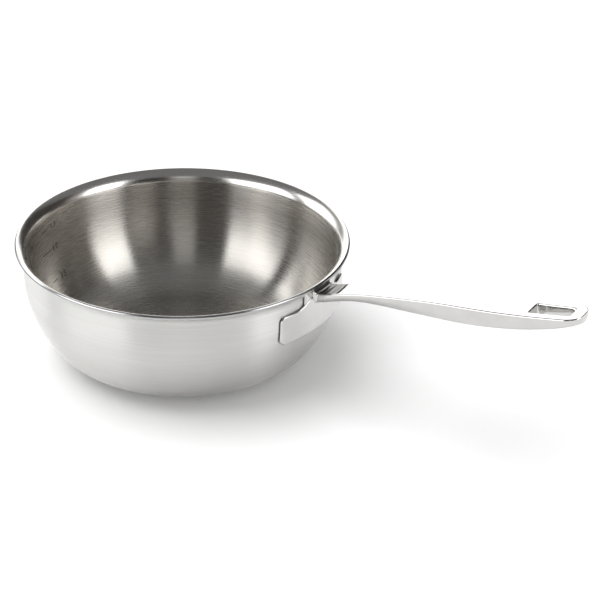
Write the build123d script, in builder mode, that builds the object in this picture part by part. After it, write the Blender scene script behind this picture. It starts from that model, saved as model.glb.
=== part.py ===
from build123d import *
import os
from math import asin, cos, degrees, radians, sin

# A saucier pan of three bonded metal layers with a cast handle welded to its wall.
# Millimetres, +Z up. The origin is the middle of the underside and +X runs along the handle.

# Bowl
rim_radius = 105.0
rim_height = 77.0
base_radius = 57.0
side_straight = 10.5
lower_bend_turn = 54.0
lip_radius = 6.75
lip_turn = 75.0
skin_thickness = 0.5
core_thickness = 1.5

# Handle grip, from the wall to its tip
handle_reach = 271.4
neck_drop = 7.5
grip_rise = 32.0
grip_half_width = 13.3
grip_depth = 14.7
tip_corner_radius = 8.5
belly_fullness_share = 0.68

# Hanging hole
hole_length = 23.3
hole_half_width = 5.9
hole_outer_radius = 3.5
hole_inner_radius = 2.0
hole_to_tip = 8.5
hole_taper_share = 0.9

# Flange that hugs the wall, with a shoulder that climbs from each ear to the neck.
# A drop is how far below the rim a height lies.
flange_half_width = 36.8
flange_height = 19.6
flange_proud = 1.7
flange_edge_radius = 1.2
flange_corner_radius = 7.0
ear_drop = 14.0
ear_corner_radius = 5.0
shoulder_drop = 9.0
shoulder_half_width = 12.0
shoulder_run = 8.5
shoulder_radius = 4.0

# Tab that rises behind the neck, from the flange to the lip
tab_half_width = 17.8
tab_drop = 5.0
tab_proud = 1.2

# Resistance welds between flange and wall
weld_gap = 0.3
nugget_radius = 3.0
nugget_half_spacing = 24.0
nugget_row_spacing = 10.0

# How far a cut or a blank reaches past what it works on
overrun = 3.0

# Stations along the handle from just inside the wall to the tip, as shares of its length, of
# its rise above the neck, of the widest half width and of the greatest depth. At the first
# ones the neck spreads and its top sweeps up to the tab.
length_shares = (
    -0.03, 0, 0.017, 0.035, 0.058, 0.116, 0.185, 0.266,
    0.37, 0.486, 0.607, 0.717, 0.821, 0.913, 0.971, 1,
)
rise_shares = (
    0.077, 0.077, 0.006, -0.003, 0.049, 0.14, 0.24, 0.336,
    0.458, 0.584, 0.68, 0.758, 0.834, 0.924, 0.98, 1,
)
width_shares = (
    0.98, 0.98, 0.82, 0.7, 0.64, 0.624, 0.632, 0.692,
    0.797, 0.91, 0.992, 0.992, 0.91, 0.887, 0.857, 0.842,
)
depth_shares = (
    0.88, 0.88, 0.69, 0.56, 0.476, 0.442, 0.463, 0.585,
    0.762, 0.932, 1, 0.94, 0.81, 0.63, 0.45, 0.38,
)

# Sizes that follow from those above. The two bends of the wall share the way out from the
# flat base to the side, and the way up to where the side is straight.
wall_thickness = skin_thickness + core_thickness + skin_thickness
side_radius = rim_radius - lip_radius * (1 - cos(radians(lip_turn)))
lip_centre_height = rim_height - (lip_radius + wall_thickness) * sin(radians(lip_turn))
side_bend_turn = 90 - lower_bend_turn
side_bend_height = lip_centre_height - side_straight
bend_reach = side_radius - base_radius
turn_sine = sin(radians(lower_bend_turn))
turn_cosine = cos(radians(lower_bend_turn))
bend_share = turn_sine + turn_cosine - 1
lower_bend_radius = (bend_reach * turn_cosine - side_bend_height * (1 - turn_sine)) / bend_share
side_bend_radius = (side_bend_height * turn_sine - bend_reach * (1 - turn_cosine)) / bend_share
neck_top = rim_height - neck_drop
ear_top = rim_height - ear_drop
flange_bottom = ear_top - flange_height
shoulder_top = rim_height - shoulder_drop
tab_top = rim_height - tab_drop
handle_length = handle_reach - side_radius
tip_half_width = grip_half_width * width_shares[-1]
corner_middle = handle_reach - tip_corner_radius
corner_blank = tip_corner_radius + overrun
flange_radius = side_radius + flange_proud
tab_radius = side_radius + tab_proud
shoulder_foot = shoulder_half_width + shoulder_run
corner_radii = [flange_corner_radius] * 2 + [ear_corner_radius] + [shoulder_radius] * 4 + [ear_corner_radius]
hole_end = handle_reach - hole_to_tip
hole_start = hole_end - hole_length
hole_radii = [hole_inner_radius, hole_outer_radius, hole_outer_radius, hole_inner_radius]
nugget_middle_height = (flange_bottom + ear_top) / 2
nugget_angle = degrees(asin(nugget_half_spacing / side_radius))


def draw_wall(depth):
    # The line of the wall at a depth below its outer surface, from the axis to the lip.
    # Every arc keeps its centre, so that lines at different depths are parallel.
    floor = Line((0, depth), (base_radius, depth))
    CenterArc((base_radius, lower_bend_radius), lower_bend_radius - depth, -90, lower_bend_turn)
    side_centre = (side_radius - side_bend_radius, side_bend_height)
    side_bend = CenterArc(side_centre, side_bend_radius - depth, -side_bend_turn, side_bend_turn)
    Line(side_bend @ 1, (side_radius - depth, lip_centre_height))
    lip_centre = (side_radius + lip_radius, lip_centre_height)
    lip = CenterArc(lip_centre, lip_radius + depth, 180, -lip_turn)
    return floor @ 0, lip @ 1


def draw_layer(outer_depth, inner_depth):
    # The half section of what lies between two depths below the outer surface of the wall.
    with BuildLine() as outline:
        outer_start, outer_end = draw_wall(outer_depth)
        inner_start, inner_end = draw_wall(inner_depth)
        Line(outer_start, inner_start)
        Line(outer_end, inner_end)
    make_face(outline.edges())


def draw_filled_bowl(gap):
    # The half section of the whole bowl without its hollow, grown outward by a gap.
    with BuildLine() as outline:
        start, end = draw_wall(-gap)
        Polyline(end, (end.X, end.Y + overrun), (0, end.Y + overrun), start)
    make_face(outline.edges())


# Inner skin, which the food touches
with BuildPart() as inner_ply:
    with BuildSketch(Plane.XZ):
        draw_layer(skin_thickness + core_thickness, wall_thickness)
    revolve(axis=Axis.Z)
inner_ply.part.label = "inner_ply"

# Heat spreading core
with BuildPart() as core_ply:
    with BuildSketch(Plane.XZ):
        draw_layer(skin_thickness, skin_thickness + core_thickness)
    revolve(axis=Axis.Z)
core_ply.part.label = "core_ply"

# Outer skin, which stands on the hob
with BuildPart() as outer_ply:
    with BuildSketch(Plane.XZ):
        draw_layer(0, skin_thickness)
    revolve(axis=Axis.Z)
outer_ply.part.label = "outer_ply"

# Flange of the handle, with two ears, cut from a disc
with BuildPart() as flange:
    Cylinder(flange_radius, rim_height, align=(Align.CENTER, Align.CENTER, Align.MIN))
    with BuildSketch(Plane.YZ.offset(flange_half_width)):
        with BuildLine():
            FilletPolyline(
                (-flange_half_width, flange_bottom),
                (flange_half_width, flange_bottom),
                (flange_half_width, ear_top),
                (shoulder_foot, ear_top),
                (shoulder_half_width, shoulder_top),
                (-shoulder_half_width, shoulder_top),
                (-shoulder_foot, ear_top),
                (-flange_half_width, ear_top),
                radius=corner_radii,
                close=True,
            )
        make_face()
    extrude(amount=flange_radius, mode=Mode.INTERSECT)
    flange_front = flange.faces().filter_by(GeomType.CYLINDER).sort_by(Axis.X)[-1]
    fillet(flange_front.edges(), flange_edge_radius)

# Tab of the handle, a thin plate on the wall behind the neck
with BuildPart() as tab:
    Cylinder(tab_radius, tab_top, align=(Align.CENTER, Align.CENTER, Align.MIN))
    with BuildSketch(Plane.YZ.offset(flange_half_width)):
        with Locations((0, flange_bottom)):
            Rectangle(2 * tab_half_width, tab_top, align=(Align.CENTER, Align.MIN))
    extrude(amount=flange_radius, mode=Mode.INTERSECT)

# Handle, one casting
with BuildPart() as handle:
    add(flange.part)
    add(tab.part)

    # Grip, neck and tongue: a flat top over a round belly, through all the stations
    for length_share, rise_share, width_share, depth_share in zip(
        length_shares, rise_shares, width_shares, depth_shares
    ):
        top = neck_top + grip_rise * rise_share
        half_width = grip_half_width * width_share
        bottom = top - grip_depth * depth_share
        side_pull = top - grip_depth * depth_share * belly_fullness_share
        belly_pull = half_width * belly_fullness_share
        with BuildSketch(Plane.YZ.offset(side_radius + handle_length * length_share)):
            with BuildLine():
                Line((-half_width, top), (half_width, top))
                Bezier((half_width, top), (half_width, side_pull), (belly_pull, bottom), (0, bottom))
                Bezier((0, bottom), (-belly_pull, bottom), (-half_width, side_pull), (-half_width, top))
            make_face()
    loft()

    # Round corners of the tip
    with BuildSketch(Plane.XY):
        for side, outward in ((-1, Align.MAX), (1, Align.MIN)):
            with Locations((corner_middle, side * (tip_half_width - tip_corner_radius))):
                Rectangle(corner_blank, corner_blank, align=(Align.MIN, outward))
                Circle(tip_corner_radius, mode=Mode.SUBTRACT)
    extrude(amount=rim_height + grip_rise, mode=Mode.SUBTRACT)

    # Hanging hole, a little narrower towards the tip
    with BuildSketch(Plane.XY):
        with BuildLine():
            FilletPolyline(
                (hole_start, -hole_half_width),
                (hole_end, -hole_half_width * hole_taper_share),
                (hole_end, hole_half_width * hole_taper_share),
                (hole_start, hole_half_width),
                radius=hole_radii,
                close=True,
            )
        make_face()
    extrude(amount=rim_height + grip_rise, mode=Mode.SUBTRACT)

    # Back of the flange and of the tongue, fitted to the wall
    with BuildSketch(Plane.XZ):
        draw_filled_bowl(weld_gap)
    revolve(axis=Axis.Z, mode=Mode.SUBTRACT)
handle.part.label = "handle"

# Weld nuggets, four discs that fill the gap between the wall and the flange
with BuildPart() as weld_nuggets:
    for angle in (-nugget_angle, nugget_angle):
        for row in (-1, 1):
            height = nugget_middle_height + row * nugget_row_spacing / 2
            outward = (cos(radians(angle)), sin(radians(angle)), 0)
            with Locations(Plane(origin=(0, 0, height), z_dir=outward)):
                Cylinder(nugget_radius, flange_radius, align=(Align.CENTER, Align.CENTER, Align.MIN))
    with BuildSketch(Plane.XZ):
        draw_layer(-weld_gap, 0)
    revolve(axis=Axis.Z, mode=Mode.INTERSECT)
weld_nuggets.part.label = "weld_nuggets"

os.makedirs("parts", exist_ok=True)
for piece in (inner_ply, core_ply, outer_ply, handle, weld_nuggets):
    export_step(piece.part, f"parts/{piece.part.label}.step")
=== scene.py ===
import math

import bmesh
import bpy
from mathutils import Matrix, Vector


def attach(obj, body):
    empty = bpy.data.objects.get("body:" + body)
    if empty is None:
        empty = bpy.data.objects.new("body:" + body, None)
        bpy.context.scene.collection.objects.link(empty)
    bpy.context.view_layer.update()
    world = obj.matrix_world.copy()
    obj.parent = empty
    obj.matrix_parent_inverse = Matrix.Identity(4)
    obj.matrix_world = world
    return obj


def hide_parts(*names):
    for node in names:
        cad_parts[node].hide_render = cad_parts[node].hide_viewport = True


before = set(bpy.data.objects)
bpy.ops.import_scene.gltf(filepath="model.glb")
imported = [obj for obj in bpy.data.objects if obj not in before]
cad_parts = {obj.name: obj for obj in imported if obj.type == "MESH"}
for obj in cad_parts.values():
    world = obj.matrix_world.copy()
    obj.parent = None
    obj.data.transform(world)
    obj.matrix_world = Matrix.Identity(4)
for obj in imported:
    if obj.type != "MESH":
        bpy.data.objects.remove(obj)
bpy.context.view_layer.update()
scene = bpy.context.scene
scene.view_settings.view_transform = "Standard"

mm = 0.001
weldDistance = 0.001 * mm  # points closer together than this are one point


def fromHex(code):  # sRGB hex to the linear values that Blender wants
    parts = [int(code[i:i + 2], 16) / 255 for i in (0, 2, 4)]
    return tuple(c / 12.92 if c <= 0.04045 else ((c + 0.055) / 1.055) ** 2.4 for c in parts) + (1.0,)


def addNode(tree, kind, values=None, links=None, **settings):
    node = tree.nodes.new(kind)
    for key, value in settings.items():
        setattr(node, key, value)
    for key, value in (values or {}).items():
        node.inputs[key].default_value = value
    for key, source in (links or {}).items():
        tree.links.new(source, node.inputs[key])
    return node


def newMaterial(name):
    material = bpy.data.materials.new(name)
    material.use_nodes = True
    material.node_tree.nodes.clear()
    return material, material.node_tree


def finishMaterial(tree, shader):
    addNode(tree, "ShaderNodeOutputMaterial", links={"Surface": shader.outputs[0]})


# What the metals' patterns share: a range is the part of the noise's values that goes from the darkest or
# smoothest to the lightest or roughest, and a depth is the relief in millimetres
pattern = {
    "grainRange": (0.6, 1.4), "grainDepth": 0.01, "fineRange": (0.35, 0.65), "cloudDepth": 0.02,
    "quarterTurn": 0.25,  # turns the stretch of a highlight across the scratches
}


def brushedSteel(name, look):
    # The scratches run round the bowl's axis, so a highlight stretches up and down the wall. They change
    # along the wall's section, which radius plus height follows, and slowly on the way round.
    material, tree = newMaterial(name)
    place = addNode(tree, "ShaderNodeTexCoord").outputs["Object"]
    flat = addNode(
        tree, "ShaderNodeVectorMath", {1: (1, 1, 0)}, {0: place}, operation="MULTIPLY"
    ).outputs[0]
    reach = addNode(tree, "ShaderNodeVectorMath", links={0: flat}, operation="LENGTH").outputs["Value"]
    outward = addNode(tree, "ShaderNodeVectorMath", links={0: flat}, operation="NORMALIZE").outputs[0]
    height = addNode(tree, "ShaderNodeSeparateXYZ", links={0: place}).outputs["Z"]
    across = addNode(tree, "ShaderNodeMath", links={0: reach, 1: height}, operation="ADD").outputs[0]
    layers = []
    for width, turns in look["grain"]:
        lift = addNode(
            tree, "ShaderNodeMath", {1: 1 / (width * mm)}, {0: across}, operation="MULTIPLY"
        ).outputs[0]
        rise = addNode(tree, "ShaderNodeCombineXYZ", links={"Z": lift}).outputs[0]
        spread = addNode(
            tree, "ShaderNodeVectorMath", {"Scale": turns}, {0: outward}, operation="SCALE"
        ).outputs[0]
        spot = addNode(
            tree, "ShaderNodeVectorMath", links={0: spread, 1: rise}, operation="ADD"
        ).outputs[0]
        layers.append(addNode(
            tree, "ShaderNodeTexNoise", {"Scale": 1.0, "Detail": 2.0}, {"Vector": spot}
        ).outputs[0])
    grain = addNode(tree, "ShaderNodeMath", links={0: layers[0], 1: layers[1]}, operation="ADD").outputs[0]
    low, high = pattern["grainRange"]
    share = addNode(
        tree, "ShaderNodeMapRange", {"From Min": low, "From Max": high}, {"Value": grain}
    ).outputs[0]
    smoothest, roughest = look["rough"]
    rough = addNode(
        tree, "ShaderNodeMapRange", {"To Min": smoothest, "To Max": roughest}, {"Value": share}
    ).outputs[0]
    tint = addNode(
        tree, "ShaderNodeMix", {6: fromHex(look["dark"]), 7: fromHex(look["light"])}, {0: share},
        data_type="RGBA",
    ).outputs[2]
    bump = addNode(
        tree, "ShaderNodeBump", {"Strength": look["bump"], "Distance": pattern["grainDepth"] * mm},
        {"Height": grain},
    ).outputs[0]
    tangent = addNode(
        tree, "ShaderNodeVectorMath", {0: (0, 0, 1)}, {1: outward}, operation="CROSS_PRODUCT"
    ).outputs[0]
    shader = addNode(
        tree, "ShaderNodeBsdfPrincipled",
        {"Metallic": 1.0, "Anisotropic": look["stretch"], "Anisotropic Rotation": pattern["quarterTurn"]},
        {"Base Color": tint, "Roughness": rough, "Normal": bump, "Tangent": tangent},
    )
    finishMaterial(tree, shader)
    return material


def cloudyMetal(name, look):
    # Worked by hand or by heat and not by a brush: cloudy patches of tone, no direction
    material, tree = newMaterial(name)
    place = addNode(tree, "ShaderNodeTexCoord").outputs["Object"]
    cloud = addNode(
        tree, "ShaderNodeTexNoise", {"Scale": 1 / (look["cloud"] * mm), "Detail": 3.0}, {"Vector": place}
    ).outputs[0]
    fine = addNode(
        tree, "ShaderNodeTexNoise", {"Scale": 1 / (look["fine"] * mm), "Detail": 2.0}, {"Vector": place}
    ).outputs[0]
    low, high = pattern["fineRange"]
    smoothest, roughest = look["rough"]
    rough = addNode(
        tree, "ShaderNodeMapRange",
        {"From Min": low, "From Max": high, "To Min": smoothest, "To Max": roughest}, {"Value": fine},
    ).outputs[0]
    tint = addNode(
        tree, "ShaderNodeMix", {6: fromHex(look["dark"]), 7: fromHex(look["light"])}, {0: cloud},
        data_type="RGBA",
    ).outputs[2]
    bump = addNode(
        tree, "ShaderNodeBump", {"Strength": look["bump"], "Distance": pattern["cloudDepth"] * mm},
        {"Height": cloud},
    ).outputs[0]
    # a dark specular tint is painted shade at a grazing angle
    shader = addNode(
        tree, "ShaderNodeBsdfPrincipled",
        {"Metallic": 1.0, "Specular Tint": fromHex(look.get("grazingShade", "ffffff"))},
        {"Base Color": tint, "Roughness": rough, "Normal": bump},
    )
    finishMaterial(tree, shader)
    return material


# A look holds two tones, the range of roughness, the share of relief, and widths in millimetres: of the
# scratches, each with how often they change on the way round, or of the cloudy patches and the fine wear.

# Stainless steel, brushed to a satin: bright and dark bands with soft edges. The real scratches of about
# 0.05 mm are too fine to show, so they are drawn 0.36 and 0.12 mm wide.
steelInside = brushedSteel("brushedSteelInside", {
    "dark": "c1beb9", "light": "d2cfca", "rough": (0.23, 0.29), "stretch": 1.0, "bump": 0.05,
    "grain": ((0.36, 1.2), (0.12, 3.0)),
})
# The same steel, brushed less finely: a paler and more even sheen. Real scratches of about 0.07 mm would
# not show either, so they are drawn 0.5 and 0.16 mm wide.
steelOutside = brushedSteel("brushedSteelOutside", {
    "dark": "c4c3c1", "light": "d3d3d1", "rough": (0.3, 0.36), "stretch": 0.9, "bump": 0.05,
    "grain": ((0.5, 1.5), (0.16, 4.0)),
})
# The same steel, polished on the lip: clearer reflections that hardly stretch. The scratches that are left
# are drawn as wide as those of the outside.
steelLip = brushedSteel("polishedSteelLip", {
    "dark": "cfcdca", "light": "dcdad7", "rough": (0.2, 0.24), "stretch": 0.3, "bump": 0.03,
    "grain": ((0.5, 1.5), (0.16, 4.0)),
})
# Cast stainless steel, polished by hand: nearly a mirror, with faint clouds about as wide as the strokes of
# a polishing wheel. Its hairlines are too fine to show, so they are drawn 0.6 mm wide.
castSteel = cloudyMetal("polishedCastSteel", {
    "dark": "c3c2c0", "light": "d0cfcd", "rough": (0.05, 0.09), "bump": 0.06, "cloud": 9.0, "fine": 0.6,
})
# Steel as a resistance weld leaves it: dull and a little brown, in patches of 2 mm
weldSteel = cloudyMetal("weldedSteel", {
    "dark": "8f8b86", "light": "a9a5a0", "rough": (0.35, 0.5), "bump": 0.4, "cloud": 2.0, "fine": 0.4,
})
# Aluminium, trimmed and buffed: darker than steel, partly as dull cut metal and partly as painted shade.
# A dark tint at a grazing angle is painted shade, which outlines the rim.
cutAluminiumAndPaintedShade = cloudyMetal("cutAluminiumAndPaintedShade", {
    "dark": "a2a2a3", "light": "b4b4b5", "rough": (0.14, 0.22), "bump": 0.2, "cloud": 1.2, "fine": 0.3,
    "grazingShade": "484848",
})
# Steel, etched by a laser: a matt brown black. A laser's dots of about 0.05 mm are too fine to show, so
# they are drawn 0.2 mm wide.
etchedSteel = cloudyMetal("laserEtchedSteel", {
    "dark": "2e2a26", "light": "4a443e", "rough": (0.5, 0.65), "bump": 0.3, "cloud": 0.8, "fine": 0.2,
})
print("materials made")


def linkMesh(name, bm, *materials):
    mesh = bpy.data.meshes.new(name)
    bm.to_mesh(mesh)
    bm.free()
    for material in materials:
        mesh.materials.append(material)
    obj = bpy.data.objects.new(name, mesh)
    scene.collection.objects.link(obj)
    return obj


def keepPiece(name, bm, *materials):
    obj = linkMesh(name, bm, *materials)
    obj.data.polygons.foreach_set("use_smooth", [True] * len(obj.data.polygons))
    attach(obj, "root")
    return obj


# The bowl, in millimetres and degrees. Its wall is a flat floor, two bends, a straight stretch and the lip.
# The lip is polished from a radius inside and from another one outside.
bowl = {
    "rimRadius": 105.0, "rimHeight": 77.0, "baseRadius": 57.0, "straight": 10.5, "lowerTurn": 54.0,
    "lipRadius": 6.75, "lipTurn": 75.0, "skin": 0.5, "wall": 2.5, "roundLength": 1.1,
    "polishInside": 97.7, "polishOutside": 103.6, "sharpTurn": 34.4,
    "floorRing": 20.0, "lowerSteps": 22, "sideSteps": 18, "lipSteps": 14, "roundSteps": 7, "turns": 288,
}


def bowlSizes():
    # the two bends share the way out from the floor to the side and the way up to the straight stretch
    turn = math.radians(bowl["lowerTurn"])
    lip = math.radians(bowl["lipTurn"])
    side = bowl["rimRadius"] - bowl["lipRadius"] * (1 - math.cos(lip))
    lipCentre = bowl["rimHeight"] - (bowl["lipRadius"] + bowl["wall"]) * math.sin(lip)
    rise = lipCentre - bowl["straight"]
    reach = side - bowl["baseRadius"]
    share = math.sin(turn) + math.cos(turn) - 1
    return {
        "side": side, "lipMiddle": side + bowl["lipRadius"], "lipCentre": lipCentre, "rise": rise,
        "lower": (reach * math.cos(turn) - rise * (1 - math.sin(turn))) / share,
        "upper": (rise * math.sin(turn) - reach * (1 - math.cos(turn))) / share,
    }


sizes = bowlSizes()


def wallRadius(height, depth=0.0):  # of the wall's line at a depth below its outer surface
    if height >= sizes["lipCentre"]:
        drop = height - sizes["lipCentre"]
        span = bowl["lipRadius"] + depth
        return sizes["lipMiddle"] - math.sqrt(max(0.0, span * span - drop * drop))
    if height >= sizes["rise"]:
        return sizes["side"] - depth
    span = sizes["upper"] - depth
    foot = sizes["rise"] - span * math.cos(math.radians(bowl["lowerTurn"]))
    if height >= foot:
        return sizes["side"] - sizes["upper"] + math.sqrt(span * span - (height - sizes["rise"]) ** 2)
    span = sizes["lower"] - depth
    return bowl["baseRadius"] + math.sqrt(max(0.0, span * span - (height - sizes["lower"]) ** 2))


def lipEndTurn(depth):  # how far the lip turns at a depth: its end is rounded over the whole wall
    half = bowl["wall"] / 2
    cut = bowl["roundLength"] * (1 - math.sqrt(max(0.0, 1 - ((depth - half) / half) ** 2)))
    return math.radians(bowl["lipTurn"]) - cut / (bowl["lipRadius"] + depth)


def runTo(bm, point, x, z):
    new = bmesh.ops.extrude_vert_indiv(bm, verts=[point])["verts"][0]
    new.co = (x * mm, 0, z * mm)
    return new


def turnRound(bm, point, x, z, degrees, steps):
    done = bmesh.ops.spin(
        bm, geom=[point], cent=(x * mm, 0, z * mm), axis=(0, -1, 0), dvec=(0, 0, 0),
        angle=math.radians(degrees), steps=steps,
    )
    return [v for v in done["geom_last"] if isinstance(v, bmesh.types.BMVert)][0]


def drawWall(bm, depth):
    # one line of the wall, drawn by spinning its last point round the centre of each bend
    point = bm.verts.new((0, 0, depth * mm))
    point = runTo(bm, point, bowl["floorRing"], depth)
    point = runTo(bm, point, bowl["baseRadius"], depth)
    point = turnRound(bm, point, bowl["baseRadius"], sizes["lower"], bowl["lowerTurn"], bowl["lowerSteps"])
    middle = sizes["side"] - sizes["upper"]
    point = turnRound(bm, point, middle, sizes["rise"], 90 - bowl["lowerTurn"], bowl["sideSteps"])
    point = runTo(bm, point, sizes["side"] - depth, sizes["lipCentre"])
    turn = -math.degrees(lipEndTurn(depth))
    return turnRound(bm, point, sizes["lipMiddle"], sizes["lipCentre"], turn, bowl["lipSteps"])


def drawLipEnd(bm, outerPoint, innerPoint, outerDepth, innerDepth):
    # the rounded end between two lines of the wall, as a chain of points on the lip's round
    half = bowl["wall"] / 2
    low, high = (math.asin(depth / half - 1) for depth in (outerDepth, innerDepth))
    point = outerPoint
    for step in range(1, bowl["roundSteps"]):
        depth = half + half * math.sin(low + (high - low) * step / bowl["roundSteps"])
        span = bowl["lipRadius"] + depth
        turn = lipEndTurn(depth)
        x = sizes["lipMiddle"] - span * math.cos(turn)
        point = runTo(bm, point, x, sizes["lipCentre"] + span * math.sin(turn))
    bm.edges.new((point, innerPoint))


def makePly(name, outerDepth, innerDepth, polishedFrom, *materials):
    bm = bmesh.new()
    outerPoint = drawWall(bm, outerDepth)
    innerPoint = drawWall(bm, innerDepth)
    drawLipEnd(bm, outerPoint, innerPoint, outerDepth, innerDepth)
    bmesh.ops.spin(
        bm, geom=bm.verts[:] + bm.edges[:], cent=(0, 0, 0), axis=(0, 0, 1), dvec=(0, 0, 0),
        angle=math.tau, steps=bowl["turns"], use_merge=True,
    )
    bmesh.ops.remove_doubles(bm, verts=bm.verts, dist=weldDistance)
    bmesh.ops.recalc_face_normals(bm, faces=bm.faces)
    sharp = math.radians(bowl["sharpTurn"])
    for edge in bm.edges:
        edge.smooth = len(edge.link_faces) == 2 and edge.calc_face_angle() < sharp
    for face in bm.faces:
        face.material_index = int(face.calc_center_median().xy.length > polishedFrom * mm)
    return keepPiece(name, bm, *materials)


skin, core, wall = bowl["skin"], bowl["wall"] - bowl["skin"], bowl["wall"]
for name, node, slot, outerDepth, innerDepth, polishedFrom, materials in (
    ("innerPly", "inner_ply", "stainless_satin", core, wall, bowl["polishInside"], (steelInside, steelLip)),
    ("corePly", "core_ply", "aluminium_core", skin, core, math.inf, (cutAluminiumAndPaintedShade,)),
    ("outerPly", "outer_ply", "stainless_satin", 0.0, skin, bowl["polishOutside"], (steelOutside, steelLip)),
):
    ply = makePly(name, outerDepth, innerDepth, polishedFrom, *materials)
    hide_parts(node)
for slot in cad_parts["weld_nuggets"].material_slots:
    slot.link = "OBJECT"
    slot.material = weldSteel
print("bowl made")

# Litre marks, etched into the inside of the wall opposite the handle: a line and its number. A row is
# its height, the degrees that the line takes up, the azimuth of the line's middle, and the number.
litreMarks = {
    "rows": ((27.6, 3.5, 190.7, "0.5"), (46.0, 7.0, 190.0, "1.0"), (61.8, 3.5, 190.7, "1.5")),
    "numberMiddle": 184.0, "lineWidth": 0.45, "textSize": 5.2, "proud": 0.03, "thickness": 0.05,
    "reach": 6,  # millimetres each way in which a flat mark is cut into squares, so that it can bend
}


def cutIntoSquares(bm):
    for cut in range(-litreMarks["reach"], litreMarks["reach"] + 1):
        for normal in ((1, 0, 0), (0, 1, 0)):
            bmesh.ops.bisect_plane(
                bm, geom=bm.verts[:] + bm.edges[:] + bm.faces[:],
                plane_co=Vector(normal) * cut * mm, plane_no=normal,
            )


def bendOntoWall(bm, height, middle):
    # x runs to the right as seen from inside the bowl and y goes up the wall
    cutIntoSquares(bm)
    slope = wallRadius(height + 1, bowl["wall"]) - wallRadius(height, bowl["wall"])
    for vert in bm.verts:
        across, up = vert.co.x / mm, vert.co.y / mm
        z = height + up / math.sqrt(1 + slope * slope)
        radius = wallRadius(z, bowl["wall"]) - litreMarks["proud"]
        turn = math.radians(middle) - across / radius
        vert.co = (radius * math.cos(turn) * mm, radius * math.sin(turn) * mm, z * mm)
    for face in bm.faces:
        face.normal_update()
        if face.normal.dot(face.calc_center_median().xy.to_3d()) > 0:
            face.normal_flip()
    bmesh.ops.solidify(bm, geom=bm.faces[:], thickness=litreMarks["thickness"] * mm)


def drawLine(degrees, height):
    bm = bmesh.new()
    length = math.radians(degrees) * wallRadius(height, bowl["wall"])
    bmesh.ops.create_grid(bm, x_segments=1, y_segments=1, size=mm / 2)
    bmesh.ops.scale(bm, vec=(length, litreMarks["lineWidth"], 1), verts=bm.verts)
    return bm


def drawNumber(number):
    text = bpy.data.curves.new("number", "FONT")
    text.body = number
    text.size = litreMarks["textSize"] * mm
    text.align_x = "CENTER"
    text.align_y = "CENTER"
    holder = bpy.data.objects.new("number", text)
    bm = bmesh.new()
    bm.from_mesh(bpy.data.meshes.new_from_object(holder))
    bpy.data.objects.remove(holder)
    bmesh.ops.remove_doubles(bm, verts=bm.verts, dist=weldDistance)
    return bm


def makeLitreMarks():
    joined = bmesh.new()
    carrier = bpy.data.meshes.new("carrier")
    for height, degrees, middle, number in litreMarks["rows"]:
        for flat, azimuth in (
            (drawLine(degrees, height), middle), (drawNumber(number), litreMarks["numberMiddle"]),
        ):
            bendOntoWall(flat, height, azimuth)
            flat.to_mesh(carrier)
            flat.free()
            joined.from_mesh(carrier)
    return keepPiece("litreMarks", joined, etchedSteel)


marks = makeLitreMarks()
print("litre marks made")

# The handle is one casting: a grip, a flange on the wall and a thin tab behind the neck. Each is drawn as
# a coarse cage, which Subdivision Surface smooths, so a cage stands a little outside the shape.
# A station of the grip is x, the height of its top, its half width and its depth.
grip = {
    "stations": (
        (106.0, 69.6, 8.6, 7.2), (109.9, 71.0, 8.45, 7.0), (119.9, 73.98, 8.3, 6.5),
        (131.7, 77.18, 8.41, 6.8), (145.6, 80.25, 9.2, 8.6), (163.4, 84.16, 10.6, 11.2),
        (183.3, 88.19, 12.1, 13.7), (204.0, 91.26, 13.19, 14.7), (222.9, 93.76, 13.19, 13.8),
        (240.7, 96.19, 12.1, 11.9), (256.5, 99.07, 11.8, 9.3), (266.4, 100.86, 11.4, 6.6),
        (271.4, 101.5, 11.2, 5.6),
    ),
    "rings": (
        106.5, 109.0, 114.0, 122.0, 131.0, 141.0, 152.0, 163.0, 174.0, 185.0, 196.0, 207.0, 218.0,
        227.0, 235.0,
    ),
    # a section: how far its edge is rounded, how full its belly is, and where the other points lie, as
    # shares of the half width and of the depth
    "edge": 1.6, "fullness": 0.68, "sideShare": 0.46, "cheek": (0.93, 0.79),
    "columns": (0.24, 0.48, 0.68), "columnRoom": 0.94, "columnLimits": (0.45, 0.85, 1.0),
    # the sweep into the flange: where it starts, its radius, its angles and how deep its foot sinks
    "neck": 105.0, "sweep": 1.6, "sweepTurns": (90.0, 60.0, 30.0, 0.0), "sink": 1.0,
    "tipRadius": 8.5, "tipTurns": (25.0, 47.0, 66.0, 82.0),
    # the hanging hole: its ends, its half widths there, its rounding, how far from its ends the next rings
    # lie, and how far off the columns begin to follow its sides
    "hole": (239.6, 262.9), "holeHalf": (5.9, 5.3), "holeEdge": 0.7, "holeInset": (3.0, 4.0),
    "holeReach": 20.0,
}
flange = {
    "radius": 101.7, "bottom": 43.4, "ear": 63.0, "shoulder": 68.0, "shoulderRun": (11.5, 21.5),
    "columns": (0.0, 6.0, 11.5, 15.0, 18.0, 21.5, 27.5, 32.0, 34.5, 36.8),
    "rows": (0.0, 2.2, 7.0), "gap": 0.35,
    "corners": (1.9, 1.4),  # how far the low and the high corners are pulled in
}
tab = {
    "radius": 101.2, "bottom": 60.0, "top": 72.4, "columns": (0.0, 8.0, 15.0, 17.0, 17.8),
    "lowRow": 2.0, "edge": 0.8, "corners": (0.2, 0.2),
}
smoothLevels = 3
curveHalvings = 30  # how often the search on the belly's curve halves its range


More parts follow.
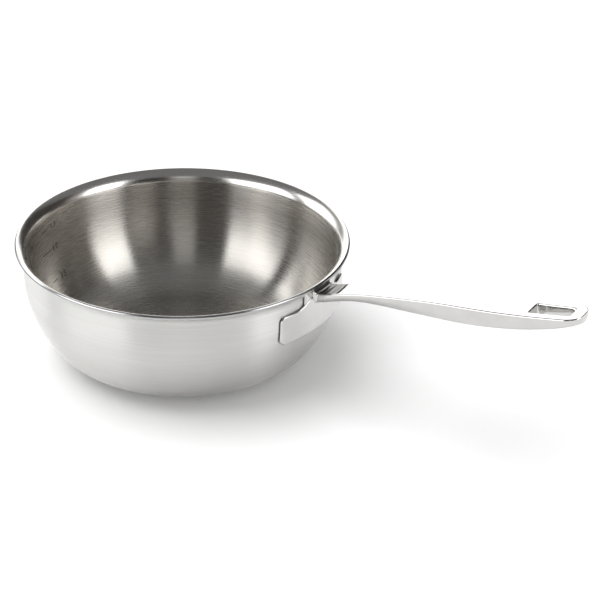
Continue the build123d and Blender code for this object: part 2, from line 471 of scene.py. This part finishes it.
def stationAt(x):  # top, half width and depth on a smooth curve through the stations
    rows = grip["stations"]
    last = len(rows) - 1
    k = max(1, next((i for i, row in enumerate(rows) if row[0] >= x), last))
    low, high = rows[k - 1], rows[k]
    before, after = rows[max(0, k - 2)], rows[min(last, k + 1)]
    span = high[0] - low[0]
    t = (x - low[0]) / span
    found = []
    for i in (1, 2, 3):
        start = (high[i] - before[i]) / (high[0] - before[0]) * span
        end = (after[i] - low[i]) / (after[0] - low[0]) * span
        found.append(
            (2 * t ** 3 - 3 * t ** 2 + 1) * low[i] + (t ** 3 - 2 * t ** 2 + t) * start
            + (3 * t ** 2 - 2 * t ** 3) * high[i] + (t ** 3 - t ** 2) * end
        )
    return found


def bellyDrop(share):
    # how far down the belly's curve is, as a share of the depth, at a share of the half width
    pull = 3 * grip["fullness"]
    low, high = 0.0, 1.0
    for step in range(curveHalvings):
        t = (low + high) / 2
        width = (1 - t) ** 3 + 3 * (1 - t) ** 2 * t + pull * (1 - t) * t * t
        low, high = (t, high) if width > share else (low, t)
    return pull * (1 - t) ** 2 * t + 3 * (1 - t) * t * t + t ** 3


def columnsAt(x, half):
    # three columns each side of the middle. Beside the hole they follow its sides.
    start, end = grip["hole"]
    near = max(0.0, 1 - max(start - x, x - end, 0.0) / grip["holeReach"])
    share = min(1.0, max(0.0, (x - start) / (end - start)))
    wide, narrow = grip["holeHalf"]
    hole = wide + (narrow - wide) * share
    beside = (hole / 2, hole, hole + grip["holeEdge"])
    mixed = [half * p + (c - half * p) * near for p, c in zip(grip["columns"], beside)]
    room = (half - grip["edge"]) * grip["columnRoom"]
    return [min(m, room * limit) for m, limit in zip(mixed, grip["columnLimits"])]


def gripSection(x, narrower=0.0):
    # y and z of 24 points: across the top from -Y to +Y, down the side, back along the belly and up
    top, half, depth = stationAt(x)
    half -= narrower
    edge = grip["edge"]
    c1, c2, c3 = columnsAt(x, half)
    cheekY, cheekZ = grip["cheek"][0] * half, top - grip["cheek"][1] * depth
    side = top - grip["sideShare"] * depth
    points = [(y, top) for y in (-half, -half + edge, -c3, -c2, -c1, 0.0, c1, c2, c3, half - edge, half)]
    points += [(half, top - edge), (half, side), (cheekY, cheekZ)]
    points += [(y, top - depth * bellyDrop(abs(y) / half)) for y in (c3, c2, c1, 0.0, -c1, -c2, -c3)]
    points += [(-cheekY, cheekZ), (-half, side), (-half, top - edge)]
    return points


overHole = (3, 4, 5, 6, 15, 16, 17, 18)  # the points of a section whose next face lies over the hole


def addRing(bm, points):
    ring = bmesh.ops.create_circle(bm, cap_ends=False, segments=len(points), radius=mm)["verts"]
    for vert, point in zip(ring, points):
        vert.co = Vector(point) * mm
    return ring


def neckRings(bm):
    # the foot sinks into the flange, and above it the neck narrows in a quarter round
    neck = gripSection(grip["neck"])
    top, half, depth = stationAt(grip["neck"])
    centre = top - depth / 2
    rings = []
    for sink, degrees in [(grip["sink"], grip["sweepTurns"][0])] + [(0.0, d) for d in grip["sweepTurns"]]:
        grow = grip["sweep"] * (1 - math.cos(math.radians(degrees))) + sink
        stand = grip["sweep"] * (1 - math.sin(math.radians(degrees))) - sink
        points = []
        for y, z in neck:
            outY = y * (1 + grow / half)
            outZ = centre + (z - centre) * (1 + 2 * grow / depth)
            points.append((math.sqrt(flange["radius"] ** 2 - outY ** 2) + stand, outY, outZ))
        rings.append(addRing(bm, points))
    return rings


def makeGrip(bm):
    start, end = grip["hole"]
    afterStart, beforeEnd = grip["holeInset"]
    besideHole = (
        start - grip["holeEdge"], start, start + afterStart, (start + end) / 2, end - beforeEnd, end,
    )
    rings = neckRings(bm)
    firstOver = len(rings) + len(grip["rings"]) + besideHole.index(start)
    for x in grip["rings"] + besideHole:
        rings.append(addRing(bm, [(x, y, z) for y, z in gripSection(x)]))
    lastOver = len(rings) - 1
    middle = grip["stations"][-1][0] - grip["tipRadius"]
    for degrees in grip["tipTurns"]:
        x = middle + grip["tipRadius"] * math.sin(math.radians(degrees))
        narrower = grip["tipRadius"] * (1 - math.cos(math.radians(degrees)))
        rings.append(addRing(bm, [(x, y, z) for y, z in gripSection(x, narrower)]))

    loops = [[e for e in bm.edges if e.verts[0] in ring] for ring in rings]
    for first, second in zip(loops, loops[1:]):
        bmesh.ops.bridge_loops(bm, edges=first + second)
    bmesh.ops.contextual_create(bm, geom=loops[0])
    lid = bmesh.ops.contextual_create(bm, geom=loops[-1])["faces"]

    # the hanging hole: the faces over it go, and its two outlines are bridged
    gone = []
    for first, second in zip(rings[firstOver:lastOver], rings[firstOver + 1:]):
        for i in overHole:
            corners = {first[i], first[i + 1], second[i], second[i + 1]}
            gone += [f for f in first[i].link_faces if set(f.verts) == corners]
    bmesh.ops.delete(bm, geom=gone, context="FACES")
    bmesh.ops.bridge_loops(bm, edges=[e for e in bm.edges if e.is_boundary])
    bmesh.ops.inset_individual(bm, faces=lid, thickness=grip["edge"] * mm, use_even_offset=True)


def makePlate(bm, plate, rowsAt):
    # a plate that hugs the wall: a grid of points on a cylinder, given its thickness down to the wall
    ys = [-c for c in reversed(plate["columns"][1:])] + list(plate["columns"])
    rows = [rowsAt(abs(y)) for y in ys]
    lastColumn, lastRow = len(ys) - 1, len(rows[0]) - 1
    front = bmesh.ops.create_grid(bm, x_segments=lastColumn, y_segments=lastRow, size=mm)["verts"]
    front.sort(key=lambda v: (round(v.co.y / weldDistance), round(v.co.x / weldDistance)))
    low, high = plate["corners"]
    for index, vert in enumerate(front):
        row, column = divmod(index, len(ys))
        y, z = ys[column], rows[column][row]
        if column in (0, lastColumn) and row in (0, lastRow):
            pull = low if row == 0 else high
            y -= math.copysign(pull, y)
            z += pull if row == 0 else -pull
        vert.co = Vector((math.sqrt(plate["radius"] ** 2 - y * y), y, z)) * mm
    faces = list({f for v in front for f in v.link_faces})
    back = bmesh.ops.extrude_face_region(bm, geom=faces)["geom"]
    for vert in [g for g in back if isinstance(g, bmesh.types.BMVert)]:
        y, z = vert.co.y / mm, vert.co.z / mm
        reach = wallRadius(min(z, sizes["lipCentre"])) + flange["gap"]
        vert.co.x = math.sqrt(reach ** 2 - y * y) * mm


def flangeRows(y):
    start, end = flange["shoulderRun"]
    share = min(1.0, max(0.0, (y - start) / (end - start)))
    top = flange["shoulder"] + (flange["ear"] - flange["shoulder"]) * share
    low = flange["bottom"]
    a, b, c = flange["rows"]
    return [low + a, low + b, low + c, (low + top) / 2, top - c, top - b, top - a]


def tabRows(y):  # the same at every y
    low, top, edge = tab["bottom"], tab["top"], tab["edge"]
    return [low, low + tab["lowRow"], top - 2 * edge, top - edge, top]


def makeHandle():
    bm = bmesh.new()
    makeGrip(bm)
    makePlate(bm, flange, flangeRows)
    makePlate(bm, tab, tabRows)
    bmesh.ops.recalc_face_normals(bm, faces=bm.faces)
    casting = keepPiece("handleCasting", bm, castSteel)
    smooth = casting.modifiers.new("Smooth", "SUBSURF")
    smooth.levels = smooth.render_levels = smoothLevels
    return casting


handleCasting = makeHandle()
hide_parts("handle")
print("handle made")

# The studio, in metres and degrees: a pale floor that keeps the shadow, a plain surround, a soft sun, and
# a dome of cloth screens out of the camera's sight, whose light and dark panels are what the steel shows.
studio = {
    "floorSize": 6.0, "floorGlow": 0.08, "floorColour": "f6f6f6", "plainLight": 0.5,
    "keyAzimuth": -160.0, "keyElevation": 68.0, "keySpread": 58.0, "keyStrength": 2.3,
    "screenRadius": 2.5, "screenLift": 0.001, "screenSegments": (48, 24),
    # elevations between which the low panels give way to the high ones, and those to the top
    "lowEdge": (24.0, 30.0), "topEdge": (34.0, 42.0), "topLevel": 0.2,
    "brightest": 4.0, "warmBelow": 0.8, "warmth": (0.0, 0.1, 0.2),
    # azimuth and brightness along the low panels
    "lowPanels": (
        (-180, 3.9), (-160, 3.9), (-157, 0.05), (-146, 0.05), (-143, 3.4), (-95, 3.4), (-92, 0.05),
        (-68, 0.05), (-64, 0.4), (-50, 0.4), (-46, 0.03), (-11, 0.03), (-8, 3.7), (18, 3.7), (22, 0.4),
        (34, 0.3), (40, 0.05), (104, 0.05), (108, 1.9), (144, 1.9), (150, 0.2), (158, 0.4), (168, 2.2),
        (180, 3.9),
    ),
    # and along the high ones
    "highPanels": (
        (-180, 3.6), (-160, 3.6), (-157, 0.03), (-146, 0.03), (-143, 3.8), (-95, 3.8), (-92, 0.03),
        (-68, 0.03), (-64, 0.8), (-50, 0.8), (-46, 0.03), (-11, 0.03), (-8, 3.9), (18, 3.9), (22, 0.3),
        (34, 0.2), (40, 0.05), (104, 0.05), (108, 2.6), (144, 2.6), (150, 0.1), (162, 0.4), (168, 2.4),
        (180, 3.6),
    ),
}


def directionTo(azimuth, elevation):
    turn, rise = math.radians(azimuth), math.radians(elevation)
    return Vector((math.cos(rise) * math.cos(turn), math.cos(rise) * math.sin(turn), math.sin(rise)))


def rampOf(tree, panels, share):
    # a ramp holds colours up to 1, so a panel is kept as a share of the brightest
    ramp = addNode(tree, "ShaderNodeValToRGB", links={"Fac": share})
    elements = ramp.color_ramp.elements
    while len(elements) < len(panels):
        elements.new(0.5)
    for element, (degrees, level) in zip(elements, panels):
        element.position = (degrees + 180) / 360
        warm = max(0.0, 1 - level / studio["warmBelow"])  # the dark ones are a warm grey
        element.color = [level / studio["brightest"] * (1 - w * warm) for w in studio["warmth"]] + [1]
    return ramp.outputs["Color"]


def backgroundRays(tree):  # 1 for the rays that should find the white background
    path = addNode(tree, "ShaderNodeLightPath")
    either = addNode(
        tree, "ShaderNodeMath", links={0: path.outputs["Is Camera Ray"], 1: path.outputs["Is Glossy Ray"]},
        operation="ADD", use_clamp=True,
    ).outputs[0]
    return addNode(
        tree, "ShaderNodeMath", links={0: either, 1: path.outputs["Is Transmission Ray"]},
        operation="ADD", use_clamp=True,
    ).outputs[0]


def keepStage(name, bm, material):
    obj = linkMesh(name, bm, material)
    return obj


def makeFloor():
    # its glow is only for the rays that look at it, so it whitens the floor and lights nothing
    material, tree = newMaterial("paleFloor")
    glow = addNode(
        tree, "ShaderNodeMath", {1: studio["floorGlow"]}, {0: backgroundRays(tree)}, operation="MULTIPLY"
    ).outputs[0]
    light = addNode(tree, "ShaderNodeEmission", {"Color": (1, 1, 1, 1)}, {"Strength": glow})
    paint = addNode(tree, "ShaderNodeBsdfDiffuse", {"Color": fromHex(studio["floorColour"])})
    both = addNode(tree, "ShaderNodeAddShader", links={0: light.outputs[0], 1: paint.outputs[0]})
    finishMaterial(tree, both)
    bm = bmesh.new()
    bmesh.ops.create_grid(bm, x_segments=1, y_segments=1, size=studio["floorSize"])
    keepStage("floor", bm, material)


def makeScreens():
    material, tree = newMaterial("clothScreens")
    place = addNode(tree, "ShaderNodeTexCoord").outputs["Object"]
    way = addNode(tree, "ShaderNodeVectorMath", links={0: place}, operation="NORMALIZE").outputs[0]
    parts = addNode(tree, "ShaderNodeSeparateXYZ", links={0: way})
    turn = addNode(
        tree, "ShaderNodeMath", links={0: parts.outputs["Y"], 1: parts.outputs["X"]}, operation="ARCTAN2"
    ).outputs[0]
    share = addNode(
        tree, "ShaderNodeMapRange", {"From Min": -math.pi, "From Max": math.pi}, {"Value": turn}
    ).outputs[0]

    def stepUp(edge):  # from 0 to 1 between two elevations
        low, high = (math.sin(math.radians(degrees)) for degrees in edge)
        return addNode(
            tree, "ShaderNodeMapRange", {"From Min": low, "From Max": high}, {"Value": parts.outputs["Z"]},
            interpolation_type="SMOOTHSTEP",
        ).outputs[0]

    low = rampOf(tree, studio["lowPanels"], share)
    high = rampOf(tree, studio["highPanels"], share)
    walls = addNode(
        tree, "ShaderNodeMix", links={0: stepUp(studio["lowEdge"]), 6: low, 7: high}, data_type="RGBA"
    ).outputs[2]
    top = (studio["topLevel"] / studio["brightest"],) * 3 + (1,)
    whole = addNode(
        tree, "ShaderNodeMix", {7: top}, {0: stepUp(studio["topEdge"]), 6: walls}, data_type="RGBA"
    ).outputs[2]
    shader = addNode(tree, "ShaderNodeEmission", {"Strength": studio["brightest"]}, {"Color": whole})
    finishMaterial(tree, shader)
    bm = bmesh.new()
    around, upward = studio["screenSegments"]
    bmesh.ops.create_uvsphere(bm, u_segments=around, v_segments=upward, radius=studio["screenRadius"])
    bmesh.ops.bisect_plane(
        bm, geom=bm.verts[:] + bm.edges[:] + bm.faces[:], plane_co=(0, 0, studio["screenLift"]),
        plane_no=(0, 0, 1), clear_inner=True,
    )
    screens = keepStage("screens", bm, material)
    screens.visible_camera = False
    screens.visible_diffuse = False  # the surround and the sun alone light what is not metal
    screens.visible_shadow = False


def makeBackground():
    world = bpy.data.worlds.new("studio")
    scene.world = world
    world.cycles.sampling_method = "NONE"  # only rays that reach it find it: the screens hide it from steel
    world.use_nodes = True
    tree = world.node_tree
    tree.nodes.clear()
    level = addNode(
        tree, "ShaderNodeMapRange", {"To Min": studio["plainLight"], "To Max": 1.0},
        {"Value": backgroundRays(tree)},
    ).outputs[0]
    light = addNode(tree, "ShaderNodeBackground", {"Color": (1, 1, 1, 1)}, {"Strength": level})
    addNode(tree, "ShaderNodeOutputWorld", links={"Surface": light.outputs[0]})


def makeKeyLight():  # a soft sun whose shadow falls to the right
    lamp = bpy.data.lights.new("keyLight", "SUN")
    lamp.angle = math.radians(studio["keySpread"])
    lamp.energy = studio["keyStrength"]
    obj = bpy.data.objects.new("keyLight", lamp)
    scene.collection.objects.link(obj)
    way = directionTo(studio["keyAzimuth"], studio["keyElevation"])
    obj.matrix_world = way.to_track_quat("Z", "Y").to_matrix().to_4x4()
    obj.visible_glossy = False


makeFloor()
makeScreens()
makeKeyLight()
makeBackground()
print("studio made")

# The camera stands where the photograph was taken from: so many millimetres from the middle of the rim,
# which it shows at rimPixel in a frame of size pixels. The focal length is in pixels too.
view = {
    "focal": 2005.87, "size": 600, "sensor": 36.0, "distance": 1260.0, "azimuth": -56.0,
    "elevation": 26.4913, "rimPixel": (182.934, 236.383), "roll": -0.71079, "clip": (0.01, 50.0),
}


def placeCamera():
    rim = Vector((0, 0, bowl["rimHeight"]))
    back = directionTo(view["azimuth"], view["elevation"])
    sight = -back
    right = sight.cross(Vector((0, 0, 1))).normalized()
    down = sight.cross(right)
    # where the rim's middle lies in the camera's own axes, and the two directions square to it
    x, y = ((pixel - view["size"] / 2) / view["focal"] for pixel in view["rimPixel"])
    aim = Vector((x, y, 1)).normalized()
    side = Vector((0, 1, 0)).cross(aim).normalized()
    drop = aim.cross(side)
    roll = math.radians(view["roll"])
    first = side * math.cos(roll) + drop * math.sin(roll)
    second = drop * math.cos(roll) - side * math.sin(roll)
    turn = Matrix([first[i] * right + second[i] * down + aim[i] * sight for i in range(3)])
    camera = bpy.data.objects.new("camera", bpy.data.cameras.new("camera"))
    scene.collection.objects.link(camera)
    camera.data.sensor_width = view["sensor"]
    camera.data.lens = view["focal"] / view["size"] * view["sensor"]
    camera.data.clip_start, camera.data.clip_end = view["clip"]
    axes = Matrix((turn[0], -turn[1], -turn[2])).transposed().to_4x4()
    camera.matrix_world = Matrix.Translation((rim + back * view["distance"]) * mm) @ axes
    scene.camera = camera


placeCamera()
print("camera placed")
